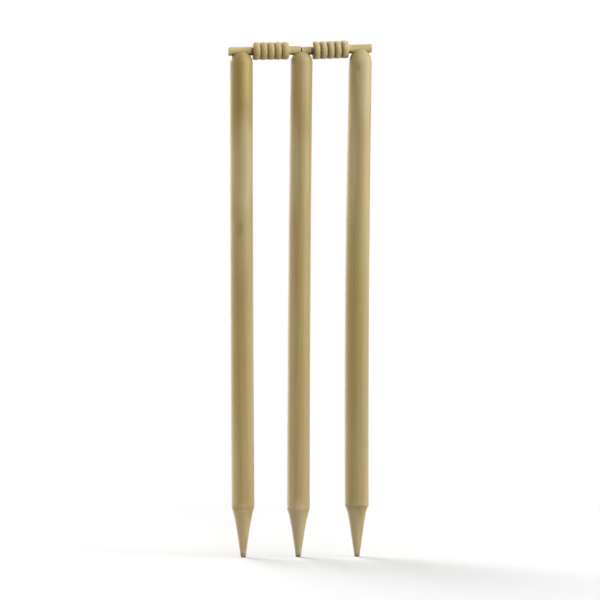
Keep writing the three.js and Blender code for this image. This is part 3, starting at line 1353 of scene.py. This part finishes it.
@dataclass
class Studio:
    """The pale floor, the white surroundings, the lamps and the camera.

    The floor has a painted shadow, a little dimmer about the painted shadow's middle, and painted light, a
    little brighter left of the painted light's span, and it fades into the white between two shares of its
    radius.
    """

    camera_turn: float = 8.0
    camera_distance: float = 5000.0
    camera_height: float = 500.0
    camera_pitch: float = -1.29
    camera_roll: float = 0.39
    focal_length: float = 199.25
    floor_drop: float = 0.2
    floor_radius: float = 1200.0
    floor_fade: Span = (0.65, 0.98)
    floor_shade: float = 0.648
    paper_shade: float = 0.25
    dim: float = 0.06
    dim_middle: Span = (180.0, -330.0)
    dim_reach: Span = (560.0, 900.0)
    lift: float = 0.05
    lift_span: Span = (-220.0, -40.0)
    sky_strength: float = 0.22
    lamps: tuple[Lamp, ...] = (
        Lamp("right_lamp", turn=73.0, height=12.0, strength=2.85, width=60.0, distance=2400.0),
        Lamp("back_lamp", turn=-150.0, height=33.0, strength=3.4, width=42.0),
        Lamp("left_lamp", turn=-115.0, height=12.0, strength=1.7, width=90.0),
        Lamp("top_lamp", turn=35.0, height=56.0, strength=1.5, width=100.0),
    )

    @staticmethod
    def seen(graph: Graph) -> Field:
        """Tells what is seen, straight or by a reflection or a refraction, from what only lights.

        Args:
            graph: The graph of the world or of a material.

        Returns:
            1 for a ray that sees, and 0 for one that lights.
        """
        path = graph.add("ShaderNodeLightPath", {})
        names = ("Is Camera Ray", "Is Glossy Ray", "Is Transmission Ray")
        camera, glossy, through = (Field(graph, path.outputs[name]) for name in names)
        return graph.math("MAXIMUM", camera, graph.math("MAXIMUM", glossy, through))

    def build_world(self) -> None:
        """Surrounds the set with soft light, and with white where it is seen."""
        world = bpy.data.worlds.new("white_room")
        world.use_nodes = True
        bpy.context.scene.world = world
        graph = Graph(world.node_tree)
        background = world.node_tree.nodes["Background"]
        shown = self.seen(graph)
        graph.feed(background.inputs["Color"], (1.0, 1.0, 1.0, 1.0))
        graph.feed(background.inputs["Strength"], shown + (1 - shown) * self.sky_strength)

    def paper(self) -> bpy.types.Material:
        """Makes the white paper, which takes the shadows and throws little light back at the set.

        Returns:
            The material.
        """
        made = bpy.data.materials.new("white_paper")
        made.use_nodes = True
        graph = Graph(made.node_tree)
        made.node_tree.nodes.remove(made.node_tree.nodes["Principled BSDF"])
        shown = self.seen(graph)
        x, y, _ = graph.separate(graph.field("ShaderNodeTexCoord", {}, "Object"))
        # A painted shadow darkens the paper about the set, and painted light brightens it on the left.
        across, along = (
            (place - middle * MM) * (1 / (reach * MM))
            for place, middle, reach in zip((x, y), self.dim_middle, self.dim_reach)
        )
        bright = graph.step(graph.length(across, along), 0.0, 1.0)
        left = 1 - graph.step(x, *(end * MM for end in self.lift_span))
        tone = (1 - self.dim + bright * self.dim + left * self.lift) * self.floor_shade
        fade = (self.floor_radius * share * MM for share in self.floor_fade)
        edge = graph.step(graph.length(x, y), *fade)
        plain = graph.add("ShaderNodeBsdfDiffuse", {"Color": (self.paper_shade,) * 3 + (1.0,)})
        shade = graph.add("ShaderNodeBsdfDiffuse", {"Color": tone})
        glow = graph.add("ShaderNodeEmission", {"Strength": 1.0})
        white = graph.add("ShaderNodeMixShader", {0: edge, 1: shade.outputs[0], 2: glow.outputs[0]})
        both = graph.add("ShaderNodeMixShader", {0: shown, 1: plain.outputs[0], 2: white.outputs[0]})
        graph.feed(made.node_tree.nodes["Material Output"].inputs["Surface"], both.outputs[0])
        return made

    def build_floor(self) -> None:
        """Lays the pale floor, which shows the shadows and runs out into the white."""
        reach, level = self.floor_radius * MM, -self.floor_drop * MM
        corners = [(x * reach, y * reach, level) for x, y in ((-1, -1), (1, -1), (1, 1), (-1, 1))]
        mesh = bpy.data.meshes.new("floor")
        mesh.from_pydata(corners, [], [(0, 1, 2, 3)])
        mesh.materials.append(self.paper())
        put_in_scene("floor", mesh)

    def build_camera(self) -> None:
        """Stands the camera where the photograph was taken from."""
        angles = (self.camera_turn, self.camera_pitch, self.camera_roll)
        turn, pitch, roll = (math.radians(angle) for angle in angles)
        across, back = math.sin(turn), math.cos(turn)
        forward = Vector((across * math.cos(pitch), back * math.cos(pitch), math.sin(pitch)))
        right = Vector((back, -across, 0.0))
        up = right.cross(forward)
        side = right * math.cos(roll) + up * math.sin(roll)
        top = up * math.cos(roll) - right * math.sin(roll)
        distance = self.camera_distance * MM
        eye = Vector((-across * distance, -back * distance, self.camera_height * MM))
        camera = put_in_scene("camera", bpy.data.cameras.new("camera"))
        camera.data.lens = self.focal_length
        camera.data.clip_end = 4 * distance
        turned = Matrix((side, top, -forward)).transposed().to_4x4()
        camera.matrix_world = Matrix.Translation(eye) @ turned
        bpy.context.scene.camera = camera

    def build(self) -> None:
        """Builds the whole studio."""
        self.build_camera()
        self.build_world()
        self.build_floor()
        for lamp in self.lamps:
            lamp.build()
        bpy.context.scene.view_settings.view_transform = "Standard"


FLECK: Colour = (0.42, 0.32, 0.17)
PALE: Colour = (0.84, 0.76, 0.58)
DEEP: Colour = (0.54, 0.44, 0.22)
# Painted highlight for the crowns.
CROWN_HIGHLIGHT: Colour = (0.86, 0.80, 0.64)
# Painted highlight along the right rim of the shafts, standing in for a reflection of the white room.
RIM_HIGHLIGHT: Colour = (0.78, 0.75, 0.69)
# Painted shade for the tops of the spigots.
SPIGOT_TOP_SHADE: Colour = (0.73, 0.66, 0.46)
# Painted shade for the end faces of the bails.
SHADE: Colour = (0.24, 0.16, 0.07)
HOLLOW_RADII: Span = (12.3, 13.2)


def contact_shade(side: float, along: float, depth: float, length: float) -> Spot:
    """Painted shade on the under side of a spigot, where it leaves a groove or the barrel."""
    return Spot((3.0, side, along), (8.0, depth, length), WoodFinish.DIRT, 0.85)


def top_shade(side: float, along: float, length: float, strength: float) -> Spot:
    """Painted shade along the top of a spigot."""
    return Spot((3.5, side, along), (10.0, 5.0, length), SPIGOT_TOP_SHADE, strength, core=0.5)


LEFT_WOOD = WoodFinish(
    name="left_stump_wood",
    green=(0.68, 0.60, 0.34),
    warm=(0.71, 0.59, 0.37),
    deep=(0.56, 0.45, 0.24),
    pith=(-24.0, 46.0, 0.0),
    seed=3.0,
    foot_tone=1.09,
    crown_tone=0.86,
)
MIDDLE_WOOD = WoodFinish(
    name="middle_stump_wood",
    green=(0.69, 0.62, 0.36),
    warm=(0.71, 0.60, 0.39),
    deep=(0.57, 0.47, 0.26),
    pith=(30.0, 40.0, 0.0),
    seed=11.0,
    swirl=(-10.0, -13.7, 100.0),
    swirl_rise=4.0,
    foot_tone=1.04,
    crown_tone=0.95,
)
RIGHT_WOOD = WoodFinish(
    name="right_stump_wood",
    green=(0.68, 0.61, 0.37),
    warm=(0.70, 0.60, 0.40),
    deep=(0.56, 0.46, 0.27),
    pith=(-36.0, 34.0, 0.0),
    seed=19.0,
    foot_tone=0.97,
    crown_tone=0.98,
)
LEFT_BAIL_WOOD = WoodFinish(
    name="left_bail_wood",
    green=(0.83, 0.77, 0.54),
    warm=(0.85, 0.75, 0.53),
    deep=(0.66, 0.54, 0.34),
    pith=(12.0, 22.0, 0.0),
    seed=27.0,
    ring_gap=2.6,
    drift=6.0,
    scuff_reach=0.5,
    pitch=0.7,
    roughness=0.48,
    coat=0.4,
    foot_coat=0.0,
    sheen=0.0,
    hollow=(*HOLLOW_RADII, 18.97, 72.47),
    # Painted shade on the left flank of each bead.
    flank=FlankShade(-10.7, 0.9, (0.60, 0.47, 0.20)),
    spots=(
        # Painted shade under the spigots, where they leave the grooves and the barrel.
        contact_shade(-6.4, 102.8, 4.4, 4.2),
        contact_shade(-6.4, 77.4, 5.4, 5.4),
        contact_shade(-6.4, 12.6, 4.2, 4.6),
        # Painted shade along the top of the short spigot.
        top_shade(6.2, 9.0, 14.0, 0.5),
        # Painted shade on the front of the barrel's left end face.
        Spot((8.0, -4.0, 73.6), (15.0, 15.0, 2.8), SHADE, 0.9, core=0.5),
        Spot((0.0, 0.0, 109.8), (9.0, 9.0, 0.7), (0.78, 0.75, 0.70), 0.45, core=0.8),
    ),
)
RIGHT_BAIL_WOOD = replace(
    LEFT_BAIL_WOOD,
    name="right_bail_wood",
    green=(0.82, 0.77, 0.52),
    deep=(0.65, 0.54, 0.34),
    pith=(-14.0, 20.0, 0.0),
    seed=35.0,
    hollow=(*HOLLOW_RADII, 16.9, 70.4),
    # Painted shade on the left flank of each bead.
    flank=FlankShade(10.7, 0.7, (0.38, 0.27, 0.09)),
    spots=(
        # Painted shade under the spigots, where they leave the grooves and the barrel.
        contact_shade(6.0, 11.4, 4.0, 4.0),
        contact_shade(6.4, 73.6, 6.4, 5.6),
        contact_shade(6.4, 99.6, 3.8, 4.0),
        # Painted shade along the tops of both spigots.
        top_shade(-6.2, 89.0, 24.0, 0.9),
        top_shade(-6.2, 7.0, 13.0, 0.6),
        # Painted shade on the front of the barrel's left end face, and on the short spigot's end face
        # between the bails.
        Spot((8.0, 4.0, 15.8), (15.0, 15.0, 2.8), (0.20, 0.11, 0.04), 0.9, core=0.5),
        Spot((0.0, 0.0, 0.0), (9.0, 9.0, 0.7), SHADE, 0.9, core=0.6),
    ),
)

LEFT_MARKS = (
    Mark(3.0, 590.0, 24.0, 95.0, PALE, 0.45, core=0.5),
    Mark(0.0, 490.0, 20.0, 100.0, PALE, 0.25),
    # Painted light on the left side of the front, standing in for rim light and light from the floor.
    Mark(-13.0, 110.0, 9.0, 150.0, PALE, 0.35),
    # Painted light on the taper, standing in for light thrown up from the floor.
    Mark(-2.0, 32.0, 16.0, 58.0, PALE, 0.5, core=0.7),
    Mark(-12.0, 752.0, 8.0, 24.0, DEEP, 0.45),
    Mark(-7.0, 690.0, 13.0, 100.0, (0.61, 0.50, 0.17), 0.45),
    # Painted highlight on the right of the crown.
    Mark(8.0, 735.0, 11.0, 90.0, (0.86, 0.76, 0.46), 0.45, core=0.1),
    # Painted reflection along the right rim of the shaft.
    Mark(16.4, 400.0, 3.4, 440.0, RIM_HIGHLIGHT, 0.45, core=0.5),
    Mark(0.5, 70.6, 8.6, 1.7, PALE, 0.5, core=0.5),
    Mark(-16.4, 264.0, 1.5, 2.2, FLECK, 0.6),
    Mark(-16.6, 246.0, 1.4, 1.8, FLECK, 0.5),
    Mark(-6.4, 207.5, 0.9, 11.0, FLECK, 0.55),
    Mark(-4.6, 207.5, 0.9, 11.0, PALE, 0.35),
    Mark(9.2, 103.0, 1.9, 26.0, (0.66, 0.47, 0.29), 0.5),
    Mark(-3.0, 493.0, 8.0, 15.0, (0.57, 0.47, 0.25), 0.4),
    Mark(1.4, 53.4, 1.7, 3.4, FLECK, 0.3),
    Mark(3.6, 57.0, 1.6, 3.0, PALE, 0.3),
    Mark(3.6, 20.0, 3.2, 20.0, (0.60, 0.53, 0.45), 0.5),
    Mark(0.0, 3.0, 6.5, 5.5, (0.66, 0.60, 0.53), 0.75, core=0.6),
    Mark(-1.0, 4.6, 1.0, 0.9, (0.30, 0.26, 0.22), 0.7),
)
MIDDLE_MARKS = (
    Mark(-12.0, 590.0, 12.0, 100.0, PALE, 0.65, core=0.4),
    Mark(7.0, 585.0, 12.0, 80.0, PALE, 0.2),
    # Painted light on the left side of the front, standing in for rim light and light from the floor.
    Mark(-13.0, 290.0, 9.0, 400.0, PALE, 0.5),
    # Painted light on the left side of the front, standing in for rim light and light from the floor.
    Mark(-14.0, 76.0, 8.0, 40.0, PALE, 0.45),
    Mark(9.0, 230.0, 7.0, 190.0, DEEP, 0.2),
    # Painted light on the taper, standing in for light thrown up from the floor.
    Mark(-2.0, 34.0, 18.0, 62.0, (0.82, 0.76, 0.60), 0.5, core=0.7),
    # Painted highlight on the right of the crown.
    Mark(6.0, 735.0, 12.0, 90.0, PALE, 0.38, core=0.1),
    # Painted light on the left side of the front, standing in for rim light and light from the floor.
    Mark(-12.0, 110.0, 8.0, 60.0, PALE, 0.35),
    # Painted reflection along the right rim of the shaft.
    Mark(16.2, 400.0, 3.4, 440.0, RIM_HIGHLIGHT, 0.4, core=0.5),
    Mark(-9.5, 96.0, 1.7, 9.0, PALE, 0.35),
    Mark(4.5, 317.0, 1.0, 2.5, FLECK, 0.6),
    Mark(0.0, 0.4, 6.5, 2.4, (0.31, 0.27, 0.14), 0.85, core=0.4),
)
RIGHT_MARKS = (
    Mark(-13.0, 600.0, 12.0, 135.0, PALE, 0.6, core=0.4),
    # Painted light on the left side of the front, standing in for rim light and light from the floor.
    Mark(-14.0, 300.0, 9.0, 460.0, (0.82, 0.74, 0.49), 0.45),
    Mark(11.0, 280.0, 9.0, 290.0, DEEP, 0.52, core=0.4),
    Mark(-3.0, 330.0, 15.0, 190.0, (0.63, 0.51, 0.19), 0.45),
    # Painted light on the taper, standing in for light thrown up from the floor.
    Mark(-6.0, 34.0, 13.0, 58.0, PALE, 0.55, core=0.6),
    # Painted highlight on the right of the crown.
    Mark(6.0, 725.0, 20.0, 100.0, CROWN_HIGHLIGHT, 0.32, core=0.2),
    # Painted highlight on the right of the crown.
    Mark(3.0, 752.0, 9.0, 13.0, (0.82, 0.74, 0.54), 0.4, core=0.2),
    Mark(-3.3, 738.0, 5.0, 9.0, (0.58, 0.46, 0.29), 0.4),
    Mark(-16.2, 73.8, 2.0, 1.8, FLECK, 0.5),
    Mark(12.0, 75.0, 1.8, 1.8, FLECK, 0.45),
    # Painted shade on the crown's left shoulder, beside the barrel's end.
    Mark(-15.4, 752.5, 1.7, 6.0, (0.30, 0.22, 0.10), 0.75),
    Mark(0.0, 0.4, 6.5, 2.2, (0.36, 0.30, 0.26), 0.85, core=0.4),
)

STUMPS = (
    Stump(
        "left_stump", "left", "stump_wood", LEFT_WOOD, 34.1, 34.5,
        crown_outset=7.8, bow=0.5, marks=LEFT_MARKS,
    ),
    Stump(
        "middle_stump", "middle", "stump_wood", MIDDLE_WOOD, 33.1, 34.6, bow=1.1, marks=MIDDLE_MARKS,
        taper_height=73.0, hollow_length=16.5, crown_height=18.0, groove_depth=6.6,
    ),
    Stump(
        "right_stump", "right", "stump_wood", RIGHT_WOOD, 34.6, 36.2, bow=2.7, belly=1.0,
        taper_height=77.6, hollow_length=7.8, crown_height=25.0, groove_depth=9.3, marks=RIGHT_MARKS,
    ),
)
BAILS = (
    Bail("left_bail", "left_bail_body", "bail_wood", LEFT_BAIL_WOOD, Side.LEFT),
    Bail(
        "right_bail", "right_bail_body", "bail_wood", RIGHT_BAIL_WOOD, Side.RIGHT,
        short_length=16.9, long_length=36.2, short_diameter=12.6, fillet=2.2,
    ),
)


def main() -> None:
    """Builds the studio, the stumps and the bails, and reports each piece."""
    logging.basicConfig(level=logging.INFO, format="%(name)s: %(message)s")
    Studio().build()
    groups = Effects()
    for tree, pieces in ((StumpTree(), STUMPS), (BailTree(), BAILS)):
        for piece in pieces:
            piece.build(tree, groups)


if __name__ == "__main__":
    main()
